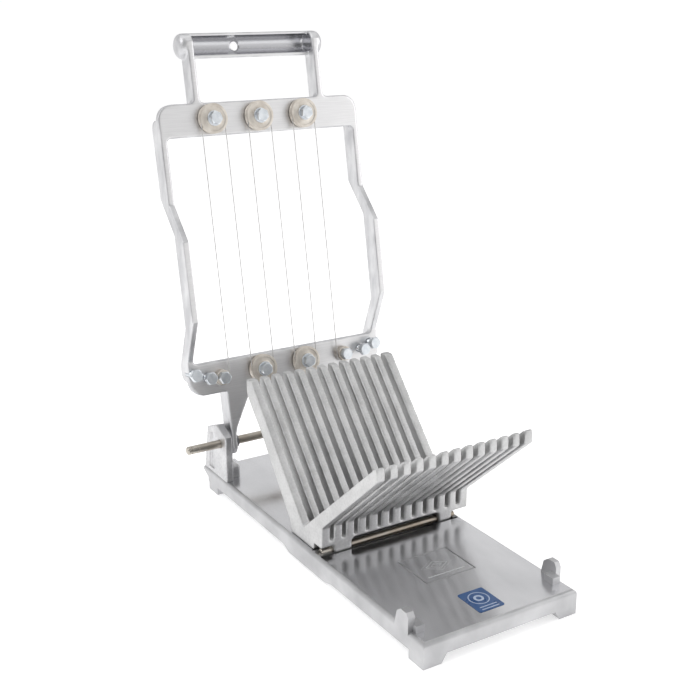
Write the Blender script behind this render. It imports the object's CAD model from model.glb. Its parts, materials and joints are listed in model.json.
"""Looks of the countertop wire slicer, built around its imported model."""
import json
import math

import bmesh
import bpy
from mathutils import Matrix, Vector


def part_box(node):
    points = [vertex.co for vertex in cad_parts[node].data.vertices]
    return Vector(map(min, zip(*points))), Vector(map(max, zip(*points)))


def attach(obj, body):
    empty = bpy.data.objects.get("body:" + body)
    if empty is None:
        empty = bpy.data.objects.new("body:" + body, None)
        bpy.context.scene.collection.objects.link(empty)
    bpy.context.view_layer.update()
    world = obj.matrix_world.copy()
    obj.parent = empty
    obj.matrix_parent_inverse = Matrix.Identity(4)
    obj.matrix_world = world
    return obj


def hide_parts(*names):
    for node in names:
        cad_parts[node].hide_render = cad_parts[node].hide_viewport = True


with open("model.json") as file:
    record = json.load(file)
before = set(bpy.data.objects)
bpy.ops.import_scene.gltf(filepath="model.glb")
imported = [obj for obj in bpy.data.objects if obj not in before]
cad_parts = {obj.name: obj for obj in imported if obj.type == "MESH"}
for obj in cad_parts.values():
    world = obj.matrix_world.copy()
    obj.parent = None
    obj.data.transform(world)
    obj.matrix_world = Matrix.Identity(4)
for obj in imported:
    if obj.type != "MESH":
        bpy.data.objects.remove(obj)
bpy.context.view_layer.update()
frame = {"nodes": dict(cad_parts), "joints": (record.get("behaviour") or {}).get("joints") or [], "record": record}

MM = 0.001
JOINTS = {joint["name"]: joint for joint in frame["joints"]}
PIN = Vector(JOINTS["arm_hinge"]["pos_m"])
ROLLER_AXIS = Vector(JOINTS["top_roller_middle_spin"]["axis"])
LEAN = math.atan2(-ROLLER_AXIS.z, ROLLER_AXIS.y)
ARM_FRAME = Matrix.Translation(PIN) @ Matrix.Rotation(-LEAN, 4, "X")
BASE_TOP = 17 * MM
BOLT_BORE = 2.8
WHEEL_MIDDLE = 8.6
ROLLERS = ["top_roller_left", "top_roller_middle", "top_roller_right", "bottom_roller_left",
           "bottom_roller_right"]


# ---- camera, floor and light ---------------------------------------------------------------------

def make_camera():
    camera = bpy.data.objects.new("camera", bpy.data.cameras.new("camera"))
    bpy.context.scene.collection.objects.link(camera)
    camera.location = (-0.38962, -0.62066, 0.37844)
    camera.rotation_euler = (math.radians(90 - 18.04), 0, math.radians(-31.81))
    camera.data.sensor_width = 36
    camera.data.lens = 57.08
    camera.data.clip_end = 2000
    bpy.context.scene.camera = camera
    bpy.context.scene.view_settings.view_transform = "Standard"


def make_floor():
    mesh = bpy.data.meshes.new("floor")
    reach = 400
    corners = [(-reach, -reach, 0), (reach, -reach, 0), (reach, reach, 0), (-reach, reach, 0)]
    mesh.from_pydata(corners, [], [(0, 1, 2, 3)])
    floor = bpy.data.objects.new("floor", mesh)
    bpy.context.scene.collection.objects.link(floor)
    material, _, shader = new_material("floor_paint")
    shader.inputs["Base Color"].default_value = (0.88, 0.88, 0.88, 1)
    shader.inputs["Roughness"].default_value = 0.9
    shader.inputs["Emission Color"].default_value = (1, 1, 1, 1)
    shader.inputs["Emission Strength"].default_value = 0.5
    mesh.materials.append(material)


def make_world():
    """A pale studio, darker overhead and behind the photographer, in front of a plain white backdrop."""
    world = bpy.data.worlds.new("studio")
    bpy.context.scene.world = world
    world.use_nodes = True
    nodes, links = world.node_tree.nodes, world.node_tree.links
    place = nodes.new("ShaderNodeTexCoord")
    overhead, photographer = (0, 0, 1), (-0.56, -0.76, 0.33)
    shades = []
    for direction, start, end, low, high in ((overhead, 0.1, 0.95, 0.9, 0.56),
                                             (photographer, 0.55, 0.95, 1, 0.32)):
        facing = nodes.new("ShaderNodeVectorMath")
        facing.operation = "DOT_PRODUCT"
        facing.inputs[1].default_value = direction
        links.new(place.outputs["Generated"], facing.inputs[0])
        shade = nodes.new("ShaderNodeMapRange")
        for socket, number in (("From Min", start), ("From Max", end), ("To Min", low), ("To Max", high)):
            shade.inputs[socket].default_value = number
        links.new(facing.outputs["Value"], shade.inputs["Value"])
        shades.append(shade.outputs["Result"])
    both = nodes.new("ShaderNodeMath")
    both.operation = "MULTIPLY"
    for index, shade in enumerate(shades):
        links.new(shade, both.inputs[index])
    lit, plain = nodes["Background"], nodes.new("ShaderNodeBackground")
    links.new(both.outputs["Value"], lit.inputs["Color"])
    lit.inputs["Strength"].default_value = 0.98
    plain.inputs["Color"].default_value = (1, 1, 1, 1)
    backdrop = nodes.new("ShaderNodeMixShader")
    links.new(nodes.new("ShaderNodeLightPath").outputs["Is Camera Ray"], backdrop.inputs["Fac"])
    links.new(lit.outputs["Background"], backdrop.inputs[1])
    links.new(plain.outputs["Background"], backdrop.inputs[2])
    links.new(backdrop.outputs["Shader"], nodes["World Output"].inputs["Surface"])


def make_area_light(name, place, target, size, power):
    data = bpy.data.lights.new(name, "AREA")
    data.shape = "RECTANGLE"
    data.size, data.size_y = size
    data.energy = power
    light = bpy.data.objects.new(name, data)
    bpy.context.scene.collection.objects.link(light)
    light.location = place
    aim = Vector(target) - Vector(place)
    light.rotation_euler = aim.to_track_quat("-Z", "Y").to_euler()


def make_lights():
    middle = (0, 0, 0.12)
    make_area_light("key", (-1.3, -0.2, 1.5), middle, (1.2, 1.2), 9)
    make_area_light("fill", (1.5, -0.9, 0.8), middle, (0.8, 1.2), 5)
    make_area_light("overhead", (0.1, 0.3, 2.0), middle, (1.8, 1.4), 6)


# ---- material helpers ----------------------------------------------------------------------------

def new_material(name):
    material = bpy.data.materials.new(name)
    material.use_nodes = True
    nodes = material.node_tree.nodes
    return material, nodes, nodes["Principled BSDF"]


class Recipe:
    """A metal or plastic with named steps for its noise, masks and bumps."""

    def __init__(self, name, metallic=1.0):
        self.material, self.nodes, self.shader = new_material(name)
        self.links = self.material.node_tree.links
        self.shader.inputs["Metallic"].default_value = metallic
        self.coord = self.nodes.new("ShaderNodeTexCoord")
        self.normal = None

    def noise(self, scale, detail=3.0, stretch=(1, 1, 1), turn=(0, 0, 0)):
        mapping = self.nodes.new("ShaderNodeMapping")
        mapping.inputs["Scale"].default_value = stretch
        mapping.inputs["Rotation"].default_value = turn
        texture = self.nodes.new("ShaderNodeTexNoise")
        texture.inputs["Scale"].default_value = scale
        texture.inputs["Detail"].default_value = detail
        self.links.new(self.coord.outputs["Object"], mapping.inputs["Vector"])
        self.links.new(mapping.outputs["Vector"], texture.inputs["Vector"])
        return texture.outputs["Fac"]

    def ramp(self, source, low, high, start=0.3, end=0.7):
        node = self.nodes.new("ShaderNodeMapRange")
        node.inputs["From Min"].default_value = start
        node.inputs["From Max"].default_value = end
        node.inputs["To Min"].default_value = low
        node.inputs["To Max"].default_value = high
        self.links.new(source, node.inputs["Value"])
        return node.outputs["Result"]

    def math(self, operation, first, second=None):
        node = self.nodes.new("ShaderNodeMath")
        node.operation = operation
        for index, item in enumerate((first, second)):
            if isinstance(item, (int, float)):
                node.inputs[index].default_value = item
            elif item is not None:
                self.links.new(item, node.inputs[index])
        return node.outputs["Value"]

    def mix(self, factor, first, second):
        """Mix two numbers or sockets."""
        node = self.nodes.new("ShaderNodeMix")
        node.data_type = "FLOAT"
        self.links.new(factor, node.inputs["Factor"])
        for index, item in ((2, first), (3, second)):
            if isinstance(item, (int, float)):
                node.inputs[index].default_value = item
            else:
                self.links.new(item, node.inputs[index])
        return node.outputs[0]

    def tint(self, source, dark, light):
        node = self.nodes.new("ShaderNodeMix")
        node.data_type = "RGBA"
        self.links.new(source, node.inputs["Factor"])
        for index, item in ((6, dark), (7, light)):
            if isinstance(item, tuple):
                node.inputs[index].default_value = (*item, 1)
            else:
                self.links.new(item, node.inputs[index])
        return node.outputs[2]

    def axis(self, name, part):
        """One part of the object's own normal or place."""
        split = self.nodes.new("ShaderNodeSeparateXYZ")
        self.links.new(self.coord.outputs[name], split.inputs[0])
        return split.outputs[part]

    def toward(self, direction):
        """How squarely the surface faces a direction, in the object's own frame."""
        node = self.nodes.new("ShaderNodeVectorMath")
        node.operation = "DOT_PRODUCT"
        node.inputs[1].default_value = direction
        self.links.new(self.coord.outputs["Normal"], node.inputs[0])
        return node.outputs["Value"]

    def bump(self, height, strength, distance):
        node = self.nodes.new("ShaderNodeBump")
        if isinstance(strength, (int, float)):
            node.inputs["Strength"].default_value = strength
        else:
            self.links.new(strength, node.inputs["Strength"])
        node.inputs["Distance"].default_value = distance
        self.links.new(height, node.inputs["Height"])
        if self.normal:
            self.links.new(self.normal, node.inputs["Normal"])
        self.normal = node.outputs["Normal"]

    def finish(self, color=None, roughness=None):
        for socket, source in (("Base Color", color), ("Roughness", roughness), ("Normal", self.normal)):
            if source is None:
                continue
            if isinstance(source, tuple):
                self.shader.inputs[socket].default_value = (*source, 1)
            elif isinstance(source, (int, float)):
                self.shader.inputs[socket].default_value = source
            else:
                self.links.new(source, self.shader.inputs[socket])
        return self.material


# ---- materials -----------------------------------------------------------------------------------

def cast_aluminium(name, dark, light, rough=(0.38, 0.56)):
    """Tumbled casting: fine pitted skin with small mottles and broad, soft blotches."""
    make = Recipe(name)
    grain = make.noise(1300, 5)
    mottle = make.noise(700, 5)
    blotch = make.noise(60, 3)
    worn = make.math("ADD", make.math("MULTIPLY", mottle, 0.35), make.math("MULTIPLY", blotch, 0.65))
    make.bump(grain, 0.5, 0.08 * MM)
    make.bump(mottle, 0.4, 0.12 * MM)
    return make.finish(make.tint(make.ramp(worn, 0, 1, 0.38, 0.62), dark, light),
                       make.ramp(blotch, *rough))


def brushed_casting(name, face, along, grip, reach):
    """The arm: cast all over, with flat front faces brushed one way and a smoother, glossier grip hollow."""
    make = Recipe(name)
    grain = make.noise(1300, 5)
    blotch = make.noise(90, 4, (1, 1, 0.45))
    streak = make.noise(1600, 2, along)
    facing = make.ramp(make.toward(face), 0, 1, 0.95, 0.99)
    hollow_half = 49.9 * MM
    cast = make.tint(make.ramp(blotch, 0, 1, 0.36, 0.64), (0.53, 0.53, 0.545), (0.74, 0.74, 0.75))
    brushed = make.tint(make.ramp(streak, 0, 1, 0.25, 0.75), (0.72, 0.715, 0.72), (0.80, 0.795, 0.80))
    make.bump(grain, make.mix(facing, 0.4, 0.08), 0.06 * MM)
    make.bump(streak, make.math("MULTIPLY", facing, 0.2), 0.02 * MM)
    roughness = make.mix(facing, make.ramp(blotch, 0.36, 0.48), make.ramp(streak, 0.33, 0.42))
    squares = [make.math("POWER", make.math("SUBTRACT", make.axis("Object", part), middle), 2)
               for part, middle in (("Y", grip.y), ("Z", grip.z))]
    hollow = make.math("LESS_THAN", make.math("ADD", *squares), reach ** 2)
    between = make.math("ABSOLUTE", make.math("SUBTRACT", make.axis("Object", "X"), grip.x))
    hollow = make.math("MULTIPLY", hollow, make.math("LESS_THAN", between, hollow_half))
    color = make.tint(hollow, make.tint(facing, cast, brushed), (0.58, 0.58, 0.60))
    return make.finish(color, make.mix(hollow, roughness, 0.24))


def polished_base(name):
    """The base: cast sides, and a top polished in long strokes with fine scratches and a cloudy bloom."""
    make = Recipe(name)
    up = make.ramp(make.toward((0, 0, 1)), 0, 1, 0.985, 0.998)
    high = make.ramp(make.axis("Object", "Z"), 0, 1, BASE_TOP - 0.15 * MM, BASE_TOP - 0.05 * MM)
    low = make.ramp(make.axis("Object", "Z"), 1, 0, BASE_TOP + 0.05 * MM, BASE_TOP + 0.15 * MM)
    top = make.math("MULTIPLY", make.math("MULTIPLY", up, high), low)
    grain = make.noise(1300, 5)
    blotch = make.noise(45, 3)
    stroke = make.noise(900, 3, (1, 0.03, 1))
    bloom = make.noise(26, 4, (1, 0.45, 1))
    cast = make.tint(make.ramp(blotch, 0, 1), (0.46, 0.46, 0.47), (0.64, 0.64, 0.65))
    polished = make.tint(make.ramp(bloom, 0, 1), (0.66, 0.66, 0.68), (0.82, 0.82, 0.84))
    etched = etched_motif(make)
    make.bump(grain, make.mix(top, 0.4, 0.0), 0.06 * MM)
    make.bump(stroke, make.math("MULTIPLY", top, 0.12), 0.02 * MM)
    gloss = make.math("ADD", make.ramp(bloom, 0.12, 0.2), make.ramp(stroke, 0.0, 0.06))
    gloss = make.mix(etched, gloss, 0.5)
    color = make.tint(top, cast, make.tint(etched, polished, (0.86, 0.87, 0.88)))
    return make.finish(color, make.mix(top, make.ramp(blotch, 0.36, 0.5), gloss))


def etched_motif(make):
    """A generic device in the engraved frame: nested lozenges over a plain bar."""
    middle, centre = 2.6 * MM, -96.4 * MM
    across = make.math("ABSOLUTE", make.math("SUBTRACT", make.axis("Object", "X"), middle))
    along = make.math("SUBTRACT", make.axis("Object", "Y"), centre)
    spread = make.math("ADD", across, make.math("MULTIPLY", make.math("ABSOLUTE", along), 1.7))
    inside = make.math("LESS_THAN", spread, 12.5 * MM)
    rings = make.math("PINGPONG", spread, 2.1 * MM)
    lines = make.math("MULTIPLY", make.math("LESS_THAN", rings, 0.35 * MM), inside)
    bar_place = make.math("ABSOLUTE", make.math("ADD", along, 11.3 * MM))
    bar = make.math("MULTIPLY", make.math("LESS_THAN", bar_place, 0.5 * MM),
                    make.math("LESS_THAN", across, 14.5 * MM))
    return make.math("MAXIMUM", lines, bar)


def turned_bronze(name):
    make = Recipe(name)
    grain = make.noise(1100, 4)
    patch = make.noise(160, 3)
    make.bump(grain, 0.25, 0.04 * MM)
    color = make.tint(make.ramp(patch, 0, 1), (0.58, 0.53, 0.47), (0.76, 0.715, 0.655))
    return make.finish(color, make.ramp(grain, 0.42, 0.55))


def plated_steel(name, dark, light, rough):
    """Bright zinc or plain steel with a faint mottle."""
    make = Recipe(name)
    patch = make.noise(300, 2)
    make.bump(make.noise(1500, 2), 0.1, 0.02 * MM)
    return make.finish(make.tint(make.ramp(patch, 0, 1), dark, light), make.ramp(patch, *rough))


def ground_steel(name):
    """A ground rod with soft brownish tarnish in long patches."""
    make = Recipe(name)
    tarnish = make.noise(55, 3, (1, 0.5, 0.5))
    make.bump(make.noise(1200, 2), 0.08, 0.02 * MM)
    color = make.tint(make.ramp(tarnish, 0, 1, 0.35, 0.65), (0.54, 0.51, 0.46), (0.40, 0.345, 0.28))
    return make.finish(color, make.ramp(tarnish, 0.24, 0.38))


def printed_label(name):
    """Blue vinyl with plain pale rings and bars."""
    make = Recipe(name, metallic=0.0)
    low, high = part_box("label")
    middle = (low + high) / 2
    x = make.math("SUBTRACT", make.axis("Object", "X"), middle.x)
    y = make.math("SUBTRACT", make.axis("Object", "Y"), middle.y + 2.2 * MM)
    squares = make.math("ADD", make.math("MULTIPLY", x, x), make.math("MULTIPLY", y, y))
    radius = make.math("SQRT", squares)
    ring = make.math("LESS_THAN", make.math("ABSOLUTE", make.math("SUBTRACT", radius, 6.6 * MM)), 0.35 * MM)
    core = make.math("LESS_THAN", make.math("ABSOLUTE", make.math("SUBTRACT", radius, 2.6 * MM)), 0.8 * MM)
    row = make.math("PINGPONG", make.math("ADD", y, 9.6 * MM), 1.3 * MM)
    bars = make.math("MULTIPLY", make.math("LESS_THAN", row, 0.4 * MM), make.math("LESS_THAN", y, -8.4 * MM))
    bars = make.math("MULTIPLY", bars, make.math("LESS_THAN", make.math("ABSOLUTE", x), 6.5 * MM))
    ink = make.math("MAXIMUM", make.math("MAXIMUM", ring, core), bars)
    shade = make.ramp(make.noise(120, 2), 0, 1)
    blue = make.tint(shade, (0.010, 0.062, 0.20), (0.016, 0.085, 0.25))
    make.bump(make.noise(900, 2), 0.1, 0.03 * MM)
    make.shader.inputs["Coat Weight"].default_value = 0.4
    return make.finish(make.tint(ink, blue, (0.42, 0.50, 0.66)), make.ramp(shade, 0.25, 0.35, 0, 1))


# ---- mesh helpers --------------------------------------------------------------------------------

def add_piece(name, mesh, node, body, material):
    """A finished piece that stands for one CAD node and rides on its body."""
    piece = bpy.data.objects.new(name, mesh)
    bpy.context.scene.collection.objects.link(piece)
    mesh.materials.clear()
    mesh.materials.append(material)
    mesh.shade_smooth()
    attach(piece, body)
    if node:
        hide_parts(node)
    return piece


def clean_copy(node):
    """The node's own shape as a welded mesh with whole flat faces."""
    bm = bmesh.new()
    bm.from_mesh(frame["nodes"][node].data)
    bmesh.ops.remove_doubles(bm, verts=bm.verts, dist=0.002 * MM)
    bmesh.ops.dissolve_limit(bm, angle_limit=math.radians(0.6), verts=bm.verts, edges=bm.edges)
    return bm


def to_mesh(bm, name):
    mesh = bpy.data.meshes.new(name)
    bm.normal_update()
    bm.to_mesh(mesh)
    bm.free()
    return mesh


def add_bevel(piece, width):
    bevel = piece.modifiers.new("cast_edges", "BEVEL")
    bevel.width = width * MM
    bevel.segments = 3
    bevel.limit_method = "ANGLE"
    bevel.angle_limit = math.radians(28)
    bevel.miter_outer = "MITER_ARC"
    flat = piece.modifiers.new("flat_faces", "WEIGHTED_NORMAL")
    flat.weight = 100
    flat.keep_sharp = True


def lathe(bm, profile, turns, place):
    """Turn an outline of (radius, height) about the local z axis; radius 0 ends close the form."""
    rings = []
    for radius, height in profile:
        if radius == 0:
            rings.append([bm.verts.new(place @ Vector((0, 0, height * MM)))])
            continue
        rings.append([
            bm.verts.new(place @ Vector((radius * MM * math.cos(a), radius * MM * math.sin(a), height * MM)))
            for a in (2 * math.pi * i / turns for i in range(turns))])
    for low, high in zip(rings, rings[1:]):
        bridge(bm, low, high)
    return rings


def bridge(bm, low, high):
    count = max(len(low), len(high))
    for i in range(count):
        j = (i + 1) % count
        corners = [low[i % len(low)], low[j % len(low)], high[j % len(high)], high[i % len(high)]]
        unique = [v for k, v in enumerate(corners) if v not in corners[:k]]
        bm.faces.new(unique)


def rounded(profile, radius, steps=4):
    """Round the inner corners of an open outline of (radius, height) points."""
    result = [profile[0]]
    for before, corner, after in zip(profile, profile[1:], profile[2:]):
        spot = Vector(corner)
        to_before, to_after = Vector(before) - spot, Vector(after) - spot
        reach = min(radius, 0.45 * to_before.length, 0.45 * to_after.length)
        start, end = spot + to_before.normalized() * reach, spot + to_after.normalized() * reach
        for k in range(steps + 1):
            f = k / steps
            point = start * (1 - f) ** 2 + spot * 2 * f * (1 - f) + end * f ** 2
            result.append((point.x, point.y))
    result.append(profile[-1])
    return result


def smooth_by_angle(piece, angle=35):
    """Mark the mesh's sharp edges so that flats stay flat."""
    bm = bmesh.new()
    bm.from_mesh(piece.data)
    for edge in bm.edges:
        edge.smooth = not (len(edge.link_faces) == 2 and edge.calc_face_angle(0) > math.radians(angle))
    bm.to_mesh(piece.data)
    bm.free()


# ---- castings ------------------------------------------------------------------------------------

def cast_form(node, place, voxel, passes):
    """The node's shape with the soft edges and filled corners of a casting."""
    bm = clean_copy(node)
    bm.transform(place.inverted())
    draft = bpy.data.objects.new("draft", to_mesh(bm, "draft"))
    bpy.context.scene.collection.objects.link(draft)
    skin = draft.modifiers.new("skin", "REMESH")
    skin.mode = "VOXEL"
    skin.voxel_size = voxel * MM
    soften = draft.modifiers.new("soften", "SMOOTH")
    soften.factor = 0.5
    soften.iterations = passes
    graph = bpy.context.evaluated_depsgraph_get()
    mesh = bpy.data.meshes.new_from_object(draft.evaluated_get(graph))
    bpy.data.objects.remove(draft)
    mesh.transform(place)
    mesh.name = node
    return mesh


def make_castings(metals):
    mesh = to_mesh(clean_copy("base_plate"), "base_plate")
    slot = "polished_casting"
    base = add_piece("base_plate_casting", mesh, "base_plate", "base", metals[slot])
    add_bevel(base, 0.6)
    for node, body, slot, place, voxel, passes in (
            ("left_bracket", "base", "rough_casting", Matrix(), 0.5, 5),
            ("right_bracket", "base", "rough_casting", Matrix(), 0.5, 5),
            ("arm_frame", "arm", "arm_casting", ARM_FRAME, 0.7, 4),
            ("cradle", "cradle", "cradle_casting", Matrix(), 0.8, 5)):
        mesh = cast_form(node, place, voxel, passes)
        add_piece(f"{node}_casting", mesh, node, body, metals[slot])


# ---- turned parts --------------------------------------------------------------------------------

FORWARD = Matrix.Rotation(math.radians(90), 4, "X")
SIDEWAYS = Matrix.Rotation(math.radians(90), 4, "Y")


def on_arm_face(spot):
    """A frame at a point of the arm, with its z axis straight out of the arm's front."""
    local = ARM_FRAME.inverted() @ spot
    return ARM_FRAME @ Matrix.Translation((local.x, 0, local.z)) @ FORWARD


def roller_spots():
    return [Vector(JOINTS[f"{node}_spin"]["pos_m"]) for node in ROLLERS]


def turned(name, node, body, slot, metals, outline, places, turns=64):
    """A lathed piece, repeated at each place."""
    bm = bmesh.new()
    for place in places:
        lathe(bm, outline, turns, place)
    bmesh.ops.remove_doubles(bm, verts=bm.verts, dist=0.001 * MM)
    bmesh.ops.recalc_face_normals(bm, faces=bm.faces)
    piece = add_piece(name, to_mesh(bm, name), node, body, metals[slot])
    smooth_by_angle(piece, 30)


def ring_outline(bore, rim, low, high, ease):
    """A washer or bush with eased edges."""
    return rounded([(bore, low), (rim, low), (rim, high), (bore, high), (bore, low)], ease, 3)


def make_rollers(metals):
    """Grooved wheels with eased rims; each turns about its bolt."""
    half, rim, root, bore, lip, dish = 2.5, 11, 9.025, BOLT_BORE, 0.9, 0.3
    outline = [(bore, -half), (rim, -half), (rim, -half + lip), (root, -0.5), (root, 0.5), (rim, half - lip),
               (rim, half), (rim - 1.9, half), (rim - 2.2, half - dish), (bore + 3.6, half - dish),
               (bore + 3.3, half), (bore, half), (bore, -half)]
    for node, spot in zip(ROLLERS, roller_spots()):
        centre = on_arm_face(spot) @ Matrix.Translation((0, 0, WHEEL_MIDDLE * MM))
        wheel = rounded(outline, 0.3, 3)
        turned(f"{node}_wheel", node, node, "bronze", metals, wheel, [centre], 96)


def make_turned_parts(metals):
    spots = [on_arm_face(spot) for spot in roller_spots()]
    spacer = ring_outline(BOLT_BORE, 7, 5.3, 6.0, 0.15)
    turned("spacer_washers", "roller_washers", "arm", "zinc_steel", metals, spacer, spots)
    washer = ring_outline(BOLT_BORE, 5.6, 11.2, 12.4, 0.3)
    turned("flat_washers", "head_washers", "arm", "zinc_steel", metals, washer, spots)
    bush = ring_outline(BOLT_BORE, 5.8, 5.3, 11.1, 0.4)
    for side in ("left", "right"):
        node = f"{side}_anchor_bush"
        turned(f"{node}_turned", node, "arm", "bronze", metals, bush, [on_arm_face(node_middle(node))])
    radius, groove, tip, near, far = 3.175, 2.775, 2.275, 44.2, 45.8
    pin = [(0, -86), (tip, -86), (radius, -85.1), (radius, -83), (groove, -83), (groove, -82.4),
           (radius, -82.4), (radius, -far), (groove, -far), (groove, -near), (radius, -near), (radius, near),
           (groove, near), (groove, far), (radius, far), (radius, 61.1), (tip, 62), (0, 62)]
    hinge = Matrix.Translation(PIN) @ SIDEWAYS
    turned("hinge_pin_turned", "hinge_pin", "base", "steel_rod", metals, pin, [hinge])
    rod = [(0, -54.5), (2.0, -54.5), (2.5, -54), (2.5, 56), (2.0, 56.5), (0, 56.5)]
    axis = Matrix.Translation(Vector(JOINTS["cradle_tilt"]["pos_m"])) @ SIDEWAYS
    turned("cradle_rod_turned", "cradle_rod", "cradle", "steel_rod", metals, rod, [axis])


def node_middle(node):
    low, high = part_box(node)
    return (low + high) / 2


def hex_radius(angle, across):
    """Distance from the middle to a hexagon's side in a direction."""
    return across / 2 / math.cos((angle + math.pi / 6) % (math.pi / 3) - math.pi / 6)


def hex_head(bm, place, across, height, turn):
    """A bolt head whose corners are cut back by the usual cone."""
    sides, shoulder = 72, 0.15
    slope = math.tan(math.radians(32))
    circle = across / 2 * 0.95
    rings = []
    for kind in ("foot", "edge", "face"):
        ring = []
        for i in range(sides):
            a = 2 * math.pi * i / sides
            r = hex_radius(a, across)
            z = {"foot": 0, "edge": height - max(0.0, r - circle) * slope - shoulder, "face": height}[kind]
            if kind == "face":
                r = circle * 0.96
            spot = Vector((r * MM * math.cos(a + turn), r * MM * math.sin(a + turn), z * MM))
            ring.append(bm.verts.new(place @ spot))
        rings.append(ring)
    bm.faces.new(list(reversed(rings[0])))
    for low, high in zip(rings, rings[1:]):
        bridge(bm, low, high)
    bm.faces.new(rings[-1])


def thread(bm, place, radius, start, end, pitch):
    """A screw thread's surface, closed by flat ends."""
    turns, per_pitch, depth_full, core = 40, 8, 0.42, radius - 0.45
    rings = []
    count = max(2, int(abs(end - start) / pitch * per_pitch))
    for k in range(count + 1):
        z = start + (end - start) * k / count
        ring = []
        for i in range(turns):
            a = 2 * math.pi * i / turns
            phase = (z / pitch - i / turns) % 1
            depth = depth_full * abs(2 * phase - 1)
            fade = min(1.0, k / 3, (count - k) / 3)
            r = core + (depth_full - depth) * fade
            ring.append(bm.verts.new(place @ Vector((r * MM * math.cos(a), r * MM * math.sin(a), z * MM))))
        rings.append(ring)
    for low, high in zip(rings, rings[1:]):
        bridge(bm, low, high)
    bm.faces.new(list(reversed(rings[0])))
    bm.faces.new(rings[-1])


def bolt_places(node):
    """The middle of each separate solid of a bolt node, in the arm's frame."""
    back = ARM_FRAME.inverted()
    bm = bmesh.new()
    bm.from_mesh(frame["nodes"][node].data)
    bmesh.ops.remove_doubles(bm, verts=bm.verts, dist=0.002 * MM)
    seen, places = set(), []
    for start in bm.verts:
        if start in seen:
            continue
        stack, island = [start], []
        seen.add(start)
        while stack:
            vert = stack.pop()
            island.append(back @ vert.co)
            for edge in vert.link_edges:
                other = edge.other_vert(vert)
                if other not in seen:
                    seen.add(other)
                    stack.append(other)
        low = Vector(min(p[i] for p in island) for i in range(3))
        high = Vector(max(p[i] for p in island) for i in range(3))
        places.append(((low.x + high.x) / 2, low.y, high.y, (low.z + high.z) / 2))
    bm.free()
    return sorted(places)


def make_bolts(metals):
    """Hex bolts with modelled threads, each turned to its own angle."""
    head, across, thread_radius, pitch = 3.8, 8.7, 2.74, 1.0
    for order, node in enumerate(("top_roller_bolts", "bottom_roller_bolts", "left_anchor_bolt",
                                  "right_anchor_bolt", "left_clamp_bolts", "right_clamp_bolts")):
        bm = bmesh.new()
        for index, (x, front, rear, along) in enumerate(bolt_places(node)):
            place = ARM_FRAME @ Matrix.Translation((x, front + head * MM, along)) @ FORWARD
            free = "roller" in node
            turn = (0.35 + 0.9 * index + 1.7 * order) % 1.05 if free else math.radians(30)
            hex_head(bm, place, across, head, turn)
            length = (rear - front) / MM - head
            thread(bm, place, thread_radius, -length, 0.2, pitch)
        slot = "zinc_steel"
        piece = add_piece(f"{node}_detail", to_mesh(bm, node), node, "arm", metals[slot])
        smooth_by_angle(piece, 30)


# ---- finishing -----------------------------------------------------------------------------------

def paint_nodes(metals):
    """Give each CAD node that still shows its own material."""
    slots = {entry["node"]: entry["material_slot"] for entry in frame["record"]["subparts"]}
    for node, thing in frame["nodes"].items():
        thing.data.materials.clear()
        thing.data.materials.append(metals[slots[node]])


arm_face = ARM_FRAME.to_3x3() @ Vector((0, -1, 0))
grip = ARM_FRAME @ Vector((4.5 * MM, 4 * MM, 298 * MM))
METALS = {
    "polished_casting": polished_base("polished_casting"),
    "rough_casting": cast_aluminium("rough_casting", (0.54, 0.54, 0.55), (0.76, 0.76, 0.77)),
    "arm_casting": brushed_casting("arm_casting", arm_face, (0.03, 1, 1), grip, 7.6 * MM),
    "cradle_casting": cast_aluminium("cradle_casting", (0.53, 0.53, 0.53), (0.68, 0.68, 0.68), (0.40, 0.56)),
    "steel_rod": ground_steel("steel_rod"),
    "spring_steel": plated_steel("spring_steel", (0.25, 0.25, 0.26), (0.36, 0.36, 0.37), (0.3, 0.4)),
    "zinc_steel": plated_steel("zinc_steel", (0.66, 0.70, 0.74), (0.80, 0.83, 0.86), (0.28, 0.38)),
    "bronze": turned_bronze("bronze"),
    "wire_steel": plated_steel("wire_steel", (0.60, 0.595, 0.59), (0.74, 0.735, 0.73), (0.34, 0.42)),
    "blue_sticker": printed_label("blue_sticker"),
}
make_camera()
make_floor()
make_world()
make_lights()
paint_nodes(METALS)
make_castings(METALS)
make_rollers(METALS)
make_turned_parts(METALS)
make_bolts(METALS)
